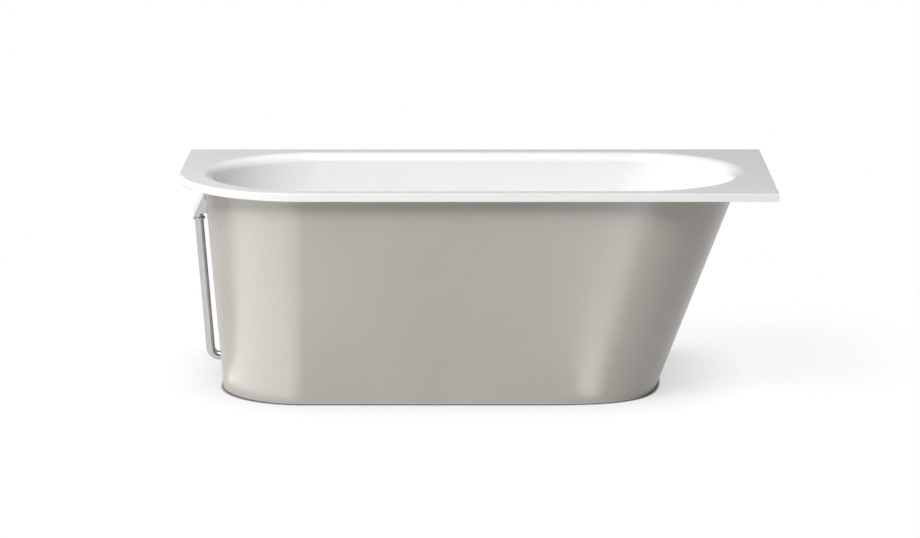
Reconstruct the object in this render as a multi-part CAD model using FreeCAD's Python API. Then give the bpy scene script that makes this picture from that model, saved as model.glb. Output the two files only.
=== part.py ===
import FreeCAD
import Part
import math
import os
from FreeCAD import Vector

# Wall-corner bath with its own skirt panel, sizes in millimetres and angles in degrees.
# X runs along the bath, Y towards the wall behind it, Z up. The origin lies on the floor
# under the middle of the rim.

# Rim slab
rim_length = 1700.0
rim_width = 750.0
rim_height = 610.0
rim_thickness = 22.5
rim_corner_radius = 372.0
rim_edge_round = 2.0

# Basin
rim_flat_left = 65.0
rim_flat_right = 70.0
rim_flat_front = 44.0
rim_flat_back = 54.0
lip_left = 28.0
lip_right = 31.0
lip_sides = 28.0
lip_drop = 24.0
right_angle = 90.0
slope_left = 9.0
slope_right = 27.0
slope_sides = 8.0
basin_floor_height = 175.0
basin_floor_fall = 0.5
basin_floor_radius = 100.0
shell_wall = 6.5
shell_floor = 10.0

# Skirt panel
skirt_wall = 5.0
skirt_gap_left = 11.5
skirt_gap_right = 12.5
skirt_setback_front = 24.0
skirt_lean_left = 5.0
skirt_lean_right = 21.75
skirt_lean_front = 0.0
skirt_top_radius = 295.0
skirt_bottom_radius = 240.0
# The right bend is drawn out along both of its sides, with its poles at these shares of the way to the corner
right_bend_reach = 1.5
right_bend_poles = (0.35, 0.8)
skirt_floor_gap = 4.0
skirt_back_gap = 5.0
skirt_seal_thickness = 1.5
skirt_seal_inset = 1.0

# Clips that hold the skirt under the front of the rim
clip_count = 4
clip_pitch = 240.0
clip_length = 44.0
clip_depth = 22.0
clip_height = 30.0
clip_screw_bite = 12.0

# Brackets that carry the rim on the walls
bracket_width = 64.0
bracket_height = 52.0
bracket_ledge = 36.0
bracket_plate = 3.0
bracket_spread = 960.0
bracket_end_place = 120.0
bracket_hole_spacing = 36.0
bracket_hole_radius = 3.5
bracket_hole_drop = 32.0
bracket_screw_bite = 10.0

# Base board and cross rails
board_thickness = 12.0
board_margin = 12.0
rail_inset_left = 70.0
rail_inset_right = 30.0
rail_length = 570.0
rail_width = 40.0
rail_depth = 25.0
rail_metal = 2.5
rail_screw_pitch = 70.0
rail_screw_rows = 4
rail_screw_bite = 8.0

# Levelling feet
foot_inset = 35.0
foot_pad_radius = 28.0
foot_pad_height = 16.0
foot_pad_edge = 4.0
foot_socket_floor = 6.0
spindle_radius = 6.0
spindle_stand = 20.0
nut_flats = 19.0
weld_nut_height = 10.0
lock_nut_height = 8.0
lock_nut_gap = 1.0

# Stays between the rails and the skirt
stay_width = 30.0
stay_plate = 3.0
stay_overlap = 20.0
stay_height = 44.0

# Small screws
screw_radius = 2.5
screw_head_radius = 5.0
screw_head_height = 3.0

# Drain
drain_place = 330.0
drain_recess_radius = 44.0
drain_recess_depth = 4.0
drain_gasket = 1.5
drain_flange_radius = 42.0
drain_flange_thickness = 3.0
drain_neck_radius = 24.0
drain_neck_wall = 3.0
drain_neck_length = 34.0
spider_bar = 6.0
spider_height = 6.0
spider_hub_radius = 9.0
spider_lift = 4.0
body_gasket = 3.0
body_flange_radius = 45.0
body_flange_thickness = 6.0
body_wall = 5.5
body_length = 30.0
tail_radius = 25.0
tail_wall = 3.5

# Click plug
plug_radius = 31.0
plug_thickness = 4.0
plug_lift = 1.2
plug_dome = 1.5
plug_seal_radius = 28.0
plug_seal_band = 5.0
sleeve_wall = 2.0
sleeve_length = 22.0
cartridge_radius = 7.0
cartridge_stud_radius = 5.0
cartridge_headroom = 9.0

# Trap
trap_radius = 62.0
trap_wall = 4.0
trap_below_pipe = 46.0
trap_above_pipe = 22.0
trap_seal = 2.0
trap_lid_thickness = 5.0
trap_lid_overhang = 4.0
trap_socket_wall = 7.0
trap_socket_height = 12.0
trap_socket_seal = 5.0
trap_nut_wall = 5.0
trap_nut_height = 12.0
trap_nut_cap = 4.0
trap_tail_dip = 2.0
trap_baffle = 3.0
trap_baffle_gap = 22.0
trap_baffle_play = 0.5

# Outlet
outlet_radius = 20.0
outlet_wall = 2.5
outlet_shoulder = 1.5
outlet_spigot_length = 50.0
outlet_back_gap = 25.0
outlet_below_pipe = 6.0
port_wall = 5.0
port_length = 24.0
port_insert = 18.0
port_nut_wall = 4.0
port_nut_cap = 4.0

# Overflow fittings
overflow_drop = 75.0
overflow_sleeve_radius = 15.0
overflow_sleeve_wall = 2.0
overflow_cover_radius = 36.0
overflow_cover_thickness = 5.0
overflow_hole_count = 8
overflow_hole_radius = 2.5
overflow_hole_circle = 9.0
overflow_seal_thickness = 5.0
overflow_seal_radius = 31.0
overflow_nut_flats = 46.0
overflow_nut_thickness = 8.0
rosette_radius = 42.0
rosette_thickness = 6.0
hood_width = 40.0
hood_chamfer = 9.0
hood_top = 41.0
hood_shoulder = 28.0
hood_base = 41.0
hood_leg = 55.0
hood_socket_depth = 6.0
hood_bore = 10.0
collar_radius = 18.5
collar_height = 8.0
collar_round = 3.5

# Overflow pipe
pipe_radius = 13.0
pipe_wall = 1.5
pipe_standoff_top = 31.5
pipe_standoff_bottom = 38.0
pipe_floor_height = 65.0
pipe_bend = 26.0
pipe_reach = 44.0
grommet_wall = 3.5
coupling_wall = 5.0
coupling_length = 36.0

# Clearances
thread_play = 0.3
sliding_play = 0.05
hole_play = 1.0
press_play = 0.02

# Places worked out from the sizes
rim_left = -rim_length / 2
rim_right = rim_length / 2
rim_front = -rim_width / 2
rim_back = rim_width / 2
rim_under = rim_height - rim_thickness
basin_y = (rim_flat_front - rim_flat_back) / 2
drain_x = rim_left + drain_place
shell_under = basin_floor_height - shell_floor
skirt_top = rim_under - skirt_seal_thickness


def tangent(angle):
    return math.tan(math.radians(angle))


def at(x, y, z):
    return Vector(x, y, z)


# Simple solids
def rod(radius, start, end):
    along = end.sub(start)
    return Part.makeCylinder(radius, along.Length, start, along)


def ring(outer, inner, start, end):
    return rod(outer, start, end).cut(rod(inner, start, end))


def block(x_range, y_range, z_range):
    corner = at(x_range[0], y_range[0], z_range[0])
    return Part.makeBox(x_range[1] - x_range[0], y_range[1] - y_range[0], z_range[1] - z_range[0], corner)


def hexagon(flats, start, end):
    reach = flats / 2 / math.cos(math.pi / 6)
    along = end.sub(start)
    points = [at(reach * math.cos(turn), reach * math.sin(turn), 0)
              for turn in [math.pi / 3 * step for step in range(7)]]
    prism = Part.Face(Part.makePolygon(points)).extrude(at(0, 0, along.Length))
    prism.Placement = FreeCAD.Placement(start, FreeCAD.Rotation(at(0, 0, 1), along))
    return prism


def nut(flats, bore, start, end):
    return hexagon(flats, start, end).cut(rod(bore, start, end))


def turned(profile, centre):
    """Solid of revolution about the upright line through centre, from (radius, height) points."""
    points = [at(radius, 0, height) for radius, height in profile]
    face = Part.Face(Part.makePolygon(points + points[:1]))
    solid = face.revolve(at(0, 0, 0), at(0, 0, 1), 360)
    solid.translate(centre)
    return solid


def screw_up(place):
    """Pan-head screw driven upwards from (x, y, height of the head's seat, length above the seat)."""
    x, y, seat, bite = place
    shank = rod(screw_radius, at(x, y, seat), at(x, y, seat + bite))
    head = rod(screw_head_radius, at(x, y, seat - screw_head_height), at(x, y, seat))
    return shank.fuse(head).removeSplitter()


def screw_hole(place):
    x, y, seat, bite = place
    return rod(screw_radius + press_play, at(x, y, seat), at(x, y, seat + bite + hole_play))


def lowest_face(solid):
    return min(solid.Faces, key=lambda face: face.CenterOfMass.z)


# Outlines
def stadium(left, right, front, back, height):
    radius = (back - front) / 2
    middle = (back + front) / 2
    diagonal = radius * math.sqrt(0.5)
    start = at(left + radius, middle, height)
    end = at(right - radius, middle, height)
    corners = [at(start.x, front, height), at(end.x, front, height), at(right, middle, height),
               at(end.x, back, height), at(start.x, back, height), at(left, middle, height)]
    edges = [
        Part.LineSegment(corners[0], corners[1]),
        Part.Arc(corners[1], end + at(diagonal, -diagonal, 0), corners[2]),
        Part.Arc(corners[2], end + at(diagonal, diagonal, 0), corners[3]),
        Part.LineSegment(corners[3], corners[4]),
        Part.Arc(corners[4], start + at(-diagonal, diagonal, 0), corners[5]),
        Part.Arc(corners[5], start + at(-diagonal, -diagonal, 0), corners[0]),
    ]
    return Part.Wire([edge.toShape() for edge in edges])


def basin_outline(height, lip_share=1.0, grow=0.0):
    """Outline of the basin wall at a height, lip_share of the way round the lip, grown outwards."""
    depth = rim_height - height

    def inset(lip, slope):
        return lip * lip_share + tangent(slope) * depth - grow

    return stadium(
        rim_left + rim_flat_left + inset(lip_left, slope_left),
        rim_right - rim_flat_right - inset(lip_right, slope_right),
        rim_front + rim_flat_front + inset(lip_sides, slope_sides),
        rim_back - rim_flat_back - inset(lip_sides, slope_sides),
        height)


def basin_left_at(height):
    return rim_left + rim_flat_left + lip_left + tangent(slope_left) * (rim_height - height)


def basin_right_at(height):
    return rim_right - rim_flat_right - lip_right - tangent(slope_right) * (rim_height - height)


def basin_half_width_at(height):
    flat = (rim_flat_front + rim_flat_back) / 2
    return rim_width / 2 - flat - lip_sides - tangent(slope_sides) * (rim_height - height)


def skirt_left_at(height):
    top = basin_left_at(rim_under) - shell_wall - skirt_gap_left - skirt_wall
    return top + tangent(skirt_lean_left) * (skirt_top - height)


def skirt_right_at(height):
    top = basin_right_at(rim_under) + shell_wall + skirt_gap_right + skirt_wall
    return top - tangent(skirt_lean_right) * (skirt_top - height)


def skirt_front_at(height):
    return rim_front + skirt_setback_front + tangent(skirt_lean_front) * (skirt_top - height)


def skirt_radius_at(height):
    share = (height - skirt_floor_gap) / (skirt_top - skirt_floor_gap)
    return skirt_bottom_radius + share * (skirt_top_radius - skirt_bottom_radius)


def soft_bend(start, corner, end):
    """Bend round a corner that starts and ends as flat as the sides it joins."""
    poles = [start + corner.sub(start) * share for share in (0.0, *right_bend_poles)]
    poles += [end + corner.sub(end) * share for share in (*reversed(right_bend_poles), 0.0)]
    curve = Part.BezierCurve()
    curve.setPoles(poles)
    return curve


def skirt_outline(height, radius, inset=0.0, back=rim_back - skirt_back_gap):
    left = skirt_left_at(height) + inset
    right = skirt_right_at(height) - inset
    front = skirt_front_at(height) + inset
    bend = radius - inset
    diagonal = bend * (1 - math.sqrt(0.5))
    reach = right_bend_reach * radius - inset
    edges = [
        Part.LineSegment(at(right, back, height), at(left, back, height)),
        Part.LineSegment(at(left, back, height), at(left, front + bend, height)),
        Part.Arc(at(left, front + bend, height), at(left + diagonal, front + diagonal, height),
                 at(left + bend, front, height)),
        Part.LineSegment(at(left + bend, front, height), at(right - reach, front, height)),
        soft_bend(at(right - reach, front, height), at(right, front, height),
                  at(right, front + reach, height)),
        Part.LineSegment(at(right, front + reach, height), at(right, back, height)),
    ]
    return Part.Wire([edge.toShape() for edge in edges])


def skirt_volume(inset, back):
    bottom = skirt_outline(skirt_floor_gap, skirt_bottom_radius, inset, back)
    top = skirt_outline(skirt_top, skirt_top_radius, inset, back)
    return Part.makeLoft([bottom, top], True, True)


# Overflow axis, square to the basin's end wall and pointing into the basin
overflow_height = rim_height - overflow_drop
overflow_seat = at(basin_left_at(overflow_height), basin_y, overflow_height)
overflow_axis = at(math.cos(math.radians(slope_left)), 0, math.sin(math.radians(slope_left)))
# Directions square to the skirt's end wall and up along it
skirt_out = at(-math.cos(math.radians(skirt_lean_left)), 0, -math.sin(math.radians(skirt_lean_left)))
skirt_up = at(-math.sin(math.radians(skirt_lean_left)), 0, math.cos(math.radians(skirt_lean_left)))


def on_overflow(distance):
    return overflow_seat + overflow_axis * distance


def overflow_to_skirt():
    """Distance along the overflow axis, negative outwards, to the outer face of the skirt."""
    on_face = at(skirt_left_at(overflow_height), basin_y, overflow_height)
    return skirt_out.dot(on_face.sub(overflow_seat)) / skirt_out.dot(overflow_axis)


overflow_outside = on_overflow(overflow_to_skirt())


def by_hood(out, up, across=0.0):
    """Point beside the hood, measured out from the skirt and up along it."""
    return overflow_outside + skirt_out * out + skirt_up * up + at(0, across, 0)


pipe_top = by_hood(pipe_standoff_top, -hood_leg)
pipe_corner = at(skirt_left_at(pipe_floor_height) - pipe_standoff_bottom, basin_y, pipe_floor_height)
pipe_end = at(skirt_left_at(pipe_floor_height) + pipe_reach, basin_y, pipe_floor_height)
pipe_down = pipe_corner.sub(pipe_top).normalize()
port_outer = pipe_radius + thread_play + port_wall
outlet_height = pipe_floor_height - outlet_below_pipe
outlet_port_outer = outlet_radius + outlet_shoulder + thread_play + port_wall


# Levels under the basin
board_under = shell_under - board_thickness
rail_web = board_under - rail_metal
rail_under = board_under - rail_depth
weld_nut_under = rail_web - weld_nut_height
lock_nut_under = weld_nut_under - lock_nut_gap - lock_nut_height
flat_margin = basin_floor_radius + shell_wall + board_margin
board_left = drain_x + body_flange_radius + board_margin
board_right = basin_right_at(shell_under) - flat_margin * tangent((right_angle - slope_right) / 2)
board_half = basin_half_width_at(shell_under) - flat_margin * tangent((right_angle - slope_sides) / 2)
# The right rail stands back from the skirt's bend, so that its stay meets the straight front
bend_right = skirt_right_at(board_under) - skirt_radius_at(board_under)
rail_places = {"left": board_left + rail_inset_left, "right": bend_right - rail_inset_right}
rail_front = basin_y - rail_length / 2
rail_back = basin_y + rail_length / 2
foot_places = {"front": rail_front + foot_inset, "back": rail_back - foot_inset}
clip_places = [(step - (clip_count - 1) / 2) * clip_pitch for step in range(clip_count)]
seat_drain = basin_floor_height - drain_recess_depth
body_top = shell_under - body_gasket
trap_floor = pipe_floor_height - trap_below_pipe
trap_rim = pipe_floor_height + trap_above_pipe
lid_under = trap_rim + trap_seal
lid_top = lid_under + trap_lid_thickness
socket_top = lid_top + trap_socket_height
tail_under = lid_under - trap_tail_dip


def rail_screw_places(x):
    steps = [(step - (rail_screw_rows - 1) / 2) * rail_screw_pitch for step in range(rail_screw_rows)]
    return [(x, basin_y + step, rail_web, rail_metal + rail_screw_bite) for step in steps]


def clip_screw_places():
    place = skirt_front_at(skirt_top) + skirt_wall + clip_depth / 2
    return [(x, place, rim_under - clip_height, clip_height + clip_screw_bite) for x in clip_places]


def bracket_screw_places():
    seat = rim_under - bracket_plate
    bite = bracket_plate + bracket_screw_bite
    back = rim_back - bracket_ledge / 2
    places = [(side * bracket_spread / 2, back, seat, bite) for side in (-1, 1)]
    return places + [(rim_right - bracket_ledge / 2, bracket_end_place, seat, bite)]


def stay_screw_places():
    depth = stay_plate + rail_metal
    return [(x, rail_front + stay_overlap / 2, rail_web, depth) for x in rail_places.values()]


# Tub shell: rim slab and basin cast as one piece
def rim_slab():
    corner = rim_corner_radius
    cut = corner * (1 - math.sqrt(0.5))
    points = [at(rim_left, rim_back, rim_under), at(rim_left, rim_front + corner, rim_under),
              at(rim_left + corner, rim_front, rim_under), at(rim_right, rim_front, rim_under),
              at(rim_right, rim_back, rim_under)]
    edges = [
        Part.LineSegment(points[0], points[1]),
        Part.Arc(points[1], at(rim_left + cut, rim_front + cut, rim_under), points[2]),
        Part.LineSegment(points[2], points[3]),
        Part.LineSegment(points[3], points[4]),
        Part.LineSegment(points[4], points[0]),
    ]
    outline = Part.Wire([edge.toShape() for edge in edges])
    slab = Part.Face(outline).extrude(at(0, 0, rim_thickness))
    top_face = max(slab.Faces, key=lambda face: face.CenterOfMass.z)
    return slab.makeFillet(rim_edge_round, top_face.Edges)


def basin_hollow():
    below_lip = rim_height - lip_drop
    floor = basin_outline(basin_floor_height)
    floor.rotate(at(drain_x, basin_y, basin_floor_height), at(0, 1, 0), -basin_floor_fall)
    hollow = Part.makeLoft([floor, basin_outline(below_lip)], True, True)
    hollow = hollow.makeFillet(basin_floor_radius, lowest_face(hollow).Edges)
    lip_rings = []
    for step in (1.0, 0.8, 0.6, 0.4, 0.2, 0.0):
        turn = step * math.pi / 2
        lip_rings.append(basin_outline(rim_height - lip_drop * (1 - math.cos(turn)), math.sin(turn)))
    lip = Part.makeLoft(lip_rings, True, False)
    return hollow.fuse(lip)


def basin_body():
    inside_rim = rim_under + rim_thickness / 2
    outlines = [basin_outline(height, grow=shell_wall) for height in (shell_under, inside_rim)]
    body = Part.makeLoft(outlines, True, True)
    return body.makeFillet(basin_floor_radius + shell_wall, lowest_face(body).Edges)


def tub_shell():
    shell = rim_slab().fuse(basin_body()).cut(basin_hollow())
    centre = at(drain_x, basin_y, 0)
    drain_hole = rod(drain_neck_radius + hole_play, centre + at(0, 0, shell_under - hole_play),
                     centre + at(0, 0, basin_floor_height + hole_play))
    recess = rod(drain_recess_radius, centre + at(0, 0, seat_drain),
                 centre + at(0, 0, basin_floor_height + drain_recess_depth))
    overflow_hole = rod(overflow_sleeve_radius + hole_play, on_overflow(-3 * shell_wall),
                        on_overflow(3 * shell_wall))
    places = clip_screw_places() + bracket_screw_places()
    return shell.cut([drain_hole, recess, overflow_hole] + [screw_hole(place) for place in places])


# Skirt panel: one curved sheet round the left end, front and right end
def skirt_panel():
    panel = skirt_volume(0.0, rim_back - skirt_back_gap).cut(skirt_volume(skirt_wall, rim_back))
    overflow_hole = rod(overflow_sleeve_radius + hole_play, on_overflow(overflow_to_skirt() + 3 * skirt_wall),
                        on_overflow(overflow_to_skirt() - 3 * skirt_wall))
    return panel.cut([overflow_hole, pipe_hole(0.0)])


def pipe_hole(play):
    return rod(pipe_radius + grommet_wall - play, pipe_corner, pipe_end)


def behind_seal():
    inner = Part.Face(skirt_outline(skirt_top, skirt_top_radius, skirt_wall, rim_back))
    return inner.extrude(at(0, 0, skirt_seal_thickness))


def skirt_seal():
    outer = Part.Face(skirt_outline(skirt_top, skirt_top_radius, skirt_seal_inset))
    return outer.extrude(at(0, 0, skirt_seal_thickness)).cut(behind_seal())


def pipe_grommet():
    inside = skirt_volume(0.0, rim_back).cut(skirt_volume(skirt_wall, rim_back))
    bung = pipe_hole(press_play).common(inside)
    return bung.cut(rod(pipe_radius + press_play, pipe_corner, pipe_end))


# Clips bonded behind the top of the skirt and screwed up into the rim
def rim_clips():
    room = skirt_volume(skirt_wall, rim_back)
    spacer_room = behind_seal()
    front = skirt_front_at(skirt_top)
    clips = []
    for x, place in zip(clip_places, clip_screw_places()):
        across = (x - clip_length / 2, x + clip_length / 2)
        depth = (front, front + skirt_wall + clip_depth)
        body = block(across, depth, (rim_under - clip_height, skirt_top)).common(room)
        spacer = block(across, depth, (skirt_top, rim_under)).common(spacer_room)
        clips.append(body.fuse(spacer).removeSplitter().cut(screw_hole(place)))
    return Part.makeCompound(clips)


def screw_group(places):
    return Part.makeCompound([screw_up(place) for place in places])


# Wall brackets: a ledge under the rim and a plate against the wall
def bracket():
    """Bracket for a wall square to Y, with the wall face in the middle of its top edge at the origin."""
    half = bracket_width / 2
    plate = block((-half, half), (-bracket_plate, 0), (-bracket_height, 0))
    ledge = block((-half, half), (-bracket_ledge, 0), (-bracket_plate, 0))
    holes = []
    for side in (-1, 1):
        x = side * bracket_hole_spacing / 2
        holes.append(rod(bracket_hole_radius, at(x, -bracket_ledge, -bracket_hole_drop),
                         at(x, hole_play, -bracket_hole_drop)))
    holes.append(screw_hole((0, -bracket_ledge / 2, -bracket_plate, bracket_plate)))
    return plate.fuse(ledge).removeSplitter().cut(holes)


def wall_bracket(x):
    back_bracket = bracket()
    back_bracket.translate(at(x, rim_back, rim_under))
    return back_bracket


def end_bracket():
    side_bracket = bracket()
    side_bracket.rotate(at(0, 0, 0), at(0, 0, 1), -90)
    side_bracket.translate(at(rim_right, bracket_end_place, rim_under))
    return side_bracket


# Base board bonded under the basin floor
def base_board():
    board = block((board_left, board_right), (basin_y - board_half, basin_y + board_half),
                  (board_under, shell_under))
    places = [place for x in rail_places.values() for place in rail_screw_places(x)]
    return board.cut([screw_hole(place) for place in places])


# Cross rails: pressed steel channels with their open side down
def cross_rail(x):
    half = rail_width / 2
    channel = block((x - half, x + half), (rail_front, rail_back), (rail_under, board_under))
    inner = half - rail_metal
    inside = block((x - inner, x + inner), (rail_front, rail_back), (rail_under, rail_web))
    holes = [screw_hole(place) for place in rail_screw_places(x) + stay_screw_places()]
    for y in foot_places.values():
        holes.append(rod(spindle_radius + hole_play, at(x, y, rail_under), at(x, y, board_under)))
    return channel.cut([inside] + holes)


# Levelling feet
def weld_nuts():
    return Part.makeCompound([
        nut(nut_flats, spindle_radius + sliding_play, at(x, y, weld_nut_under), at(x, y, rail_web))
        for x in rail_places.values() for y in foot_places.values()])


def lock_nuts():
    top = weld_nut_under - lock_nut_gap
    return Part.makeCompound([
        nut(nut_flats, spindle_radius + sliding_play, at(x, y, lock_nut_under), at(x, y, top))
        for x in rail_places.values() for y in foot_places.values()])


def foot_spindle(x, y):
    return rod(spindle_radius, at(x, y, foot_socket_floor), at(x, y, board_under + spindle_stand))


def foot_pad(x, y):
    pad = rod(foot_pad_radius, at(x, y, 0), at(x, y, foot_pad_height))
    top_face = max(pad.Faces, key=lambda face: face.CenterOfMass.z)
    pad = pad.makeFillet(foot_pad_edge, top_face.Edges)
    socket = rod(spindle_radius + press_play, at(x, y, foot_socket_floor), at(x, y, foot_pad_height))
    return pad.cut(socket)


# Stays from the rail ends to the back of the skirt
def skirt_stay(x):
    sides = (x - stay_width / 2, x + stay_width / 2)
    face = skirt_front_at(skirt_top)
    tongue = block(sides, (face, rail_front + stay_overlap), (board_under, board_under + stay_plate))
    foot = block(sides, (face, rail_front), (board_under, board_under + stay_height))
    foot = foot.cut(skirt_volume(skirt_wall + stay_plate, rim_back))
    stay = tongue.fuse(foot).common(skirt_volume(skirt_wall, rim_back)).removeSplitter()
    return stay.cut([screw_hole(place) for place in stay_screw_places()])


# Drain fitting
def drain_gasket_top():
    centre = at(drain_x, basin_y, seat_drain)
    return ring(drain_flange_radius - hole_play, drain_neck_radius + hole_play, centre,
                centre + at(0, 0, drain_gasket))


def drain_flange():
    centre = at(drain_x, basin_y, seat_drain + drain_gasket)
    bore = drain_neck_radius - drain_neck_wall
    body = turned([
        (bore, -drain_neck_length), (drain_neck_radius, -drain_neck_length), (drain_neck_radius, 0),
        (drain_flange_radius, 0), (drain_flange_radius, drain_flange_thickness / 2),
        (drain_flange_radius - drain_flange_thickness / 2, drain_flange_thickness),
        (bore + drain_flange_thickness, drain_flange_thickness), (bore, 0)], centre)
    low = seat_drain + drain_gasket - drain_neck_length + spider_lift
    middle = at(drain_x, basin_y, low)
    high = middle + at(0, 0, spider_height)
    bars = [block((drain_x - bore - drain_neck_wall / 2, drain_x + bore + drain_neck_wall / 2),
                  (basin_y - spider_bar / 2, basin_y + spider_bar / 2), (low, low + spider_height)),
            block((drain_x - spider_bar / 2, drain_x + spider_bar / 2),
                  (basin_y - bore - drain_neck_wall / 2, basin_y + bore + drain_neck_wall / 2),
                  (low, low + spider_height))]
    spider = rod(spider_hub_radius, middle, high).fuse(bars)
    return body.fuse(spider).cut(rod(cartridge_stud_radius + press_play, middle, high)).removeSplitter()


def drain_gasket_bottom():
    centre = at(drain_x, basin_y, body_top)
    return ring(body_flange_radius, drain_neck_radius + hole_play, centre, centre + at(0, 0, body_gasket))


def waste_body():
    outer = drain_neck_radius + thread_play + body_wall
    return turned([
        (drain_neck_radius + thread_play, body_top), (body_flange_radius, body_top),
        (body_flange_radius, body_top - body_flange_thickness), (outer, body_top - body_flange_thickness),
        (outer, body_top - body_length), (tail_radius, body_top - body_length), (tail_radius, tail_under),
        (tail_radius - tail_wall, tail_under), (tail_radius - tail_wall, body_top - body_length + body_wall),
        (drain_neck_radius + thread_play, body_top - body_length + body_wall)], at(drain_x, basin_y, 0))


def click_cartridge():
    low = seat_drain + drain_gasket - drain_neck_length + spider_lift
    middle = at(drain_x, basin_y, low)
    seat = middle + at(0, 0, spider_height)
    top = at(drain_x, basin_y, plug_under() - cartridge_headroom)
    return rod(cartridge_stud_radius, middle, seat).fuse(rod(cartridge_radius, seat, top)).removeSplitter()


# Click plug: cap, guide sleeve and seal travel together
def plug_under():
    return seat_drain + drain_gasket + drain_flange_thickness + plug_lift


def plug_cap():
    return turned([
        (0, 0), (plug_radius - plug_dome, 0), (plug_radius, plug_dome),
        (plug_radius, plug_thickness - plug_dome),
        (plug_radius * math.sqrt(0.5), plug_thickness), (0, plug_thickness + plug_dome / 2)],
        at(drain_x, basin_y, plug_under()))


def plug_sleeve():
    top = at(drain_x, basin_y, plug_under())
    inner = cartridge_radius + sliding_play
    return ring(inner + sleeve_wall, inner, top - at(0, 0, sleeve_length), top)


def plug_seal():
    top = at(drain_x, basin_y, plug_under())
    thickness = plug_lift - thread_play
    return ring(plug_seal_radius, plug_seal_radius - plug_seal_band, top - at(0, 0, thickness), top)


# Trap under the drain, with a baffle that keeps the water seal
def side_port(outer, centre_height, towards):
    start = at(drain_x, basin_y, centre_height)
    return rod(outer, start, start + towards * (trap_radius + port_length))


def side_bore(bore, centre_height, towards):
    start = at(drain_x, basin_y, centre_height)
    return rod(bore, start, start + towards * (trap_radius + 2 * port_length))


def trap_cup():
    base = at(drain_x, basin_y, trap_floor)
    cup = rod(trap_radius, base, at(drain_x, basin_y, trap_rim))
    cup = cup.fuse([side_port(port_outer, pipe_floor_height, at(-1, 0, 0)),
                    side_port(outlet_port_outer, outlet_height, at(0, 1, 0))])
    hollow = rod(trap_radius - trap_wall, base + at(0, 0, trap_wall), at(drain_x, basin_y, trap_rim))
    cup = cup.cut([hollow, side_bore(pipe_radius + thread_play, pipe_floor_height, at(-1, 0, 0)),
                   side_bore(outlet_radius + outlet_shoulder + thread_play, outlet_height, at(0, 1, 0))])
    return cup.removeSplitter()


def trap_lid_seal():
    base = at(drain_x, basin_y, trap_rim)
    return ring(trap_radius, trap_radius - trap_wall, base, base + at(0, 0, trap_seal))


def trap_lid():
    centre = at(drain_x, basin_y, 0)
    bore = tail_radius + thread_play
    outer = bore + trap_socket_wall
    edge = trap_radius + trap_lid_overhang
    seal_seat = socket_top - trap_socket_seal
    seal_edge = bore + trap_socket_wall / 2
    lid = turned([
        (bore, lid_under), (edge, lid_under), (edge, lid_top), (outer, lid_top), (outer, socket_top),
        (seal_edge, socket_top), (seal_edge, seal_seat), (bore, seal_seat)], centre)
    inside = trap_radius - trap_wall - trap_baffle_play
    face = basin_y + bore + trap_baffle
    baffle = block((drain_x - trap_radius, drain_x + trap_radius), (face, face + trap_baffle),
                   (trap_floor + trap_wall + trap_baffle_gap, lid_under))
    round_cup = rod(inside, centre + at(0, 0, trap_floor), centre + at(0, 0, lid_under))
    return lid.fuse(baffle.common(round_cup)).removeSplitter()


def trap_inlet_seal():
    base = at(drain_x, basin_y, socket_top - trap_socket_seal)
    outer = tail_radius + thread_play + trap_socket_wall / 2
    return ring(outer, tail_radius, base, base + at(0, 0, trap_socket_seal))


def trap_nut():
    bore = tail_radius + thread_play
    inner = bore + trap_socket_wall + thread_play
    outer = inner + trap_nut_wall
    top = socket_top + trap_nut_cap
    bottom = top - trap_nut_height
    return turned([(inner, bottom), (outer, bottom), (outer, top), (bore, top), (bore, socket_top),
                   (inner, socket_top)], at(drain_x, basin_y, 0))


# Outlet pipe towards the wall
def outlet_pipe():
    start = at(drain_x, basin_y + trap_radius + port_length - port_insert, outlet_height)
    end = at(drain_x, rim_back - outlet_back_gap, outlet_height)
    shoulder = end - at(0, outlet_spigot_length, 0)
    pipe = rod(outlet_radius + outlet_shoulder, start, shoulder).fuse(rod(outlet_radius, shoulder, end))
    return pipe.cut(rod(outlet_radius - outlet_wall, start, end)).removeSplitter()


def port_cap(outer, bore, centre_height, towards):
    """Nut that screws over a port of the trap and closes round the pipe in it."""
    mouth = at(drain_x, basin_y, centre_height) + towards * (trap_radius + port_length)
    inner_end = mouth - towards * port_insert / 2
    outer_end = mouth + towards * port_nut_cap
    shell = rod(outer + thread_play + port_nut_wall, inner_end, outer_end)
    return shell.cut([rod(outer + thread_play, inner_end, mouth), rod(bore, mouth, outer_end)])


def outlet_nut():
    bore = outlet_radius + outlet_shoulder + thread_play
    return port_cap(outlet_port_outer, bore, outlet_height, at(0, 1, 0))


# Overflow through the end wall
def overflow_seal():
    washer = ring(overflow_seal_radius, overflow_sleeve_radius + thread_play, on_overflow(-shell_wall),
                  on_overflow(overflow_seal_thickness))
    return washer.common(basin_hollow())


def overflow_cover():
    back = overflow_seal_thickness
    front = back + overflow_cover_thickness
    disc = rod(overflow_cover_radius, on_overflow(back), on_overflow(front))
    face = max(disc.Faces, key=lambda face: face.CenterOfMass.x)
    disc = disc.makeFillet(overflow_cover_thickness / 2, face.Edges)
    across = at(0, 1, 0)
    upright = overflow_axis.cross(across)
    holes = []
    for step in range(overflow_hole_count):
        turn = 2 * math.pi * step / overflow_hole_count
        shift = (across * math.cos(turn) + upright * math.sin(turn)) * overflow_hole_circle
        holes.append(rod(overflow_hole_radius, on_overflow(back - hole_play) + shift,
                         on_overflow(front + hole_play) + shift))
    return disc.cut(holes)


def overflow_sleeve():
    inside = on_overflow(overflow_seal_thickness)
    return ring(overflow_sleeve_radius, overflow_sleeve_radius - overflow_sleeve_wall, sleeve_end(), inside)


def sleeve_end():
    return on_overflow(overflow_to_skirt() - rosette_thickness - hood_socket_depth)


def overflow_nut():
    behind = nut(overflow_nut_flats, overflow_sleeve_radius + thread_play,
                 on_overflow(-shell_wall - overflow_nut_thickness), on_overflow(0))
    return behind.cut(basin_body())


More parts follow.
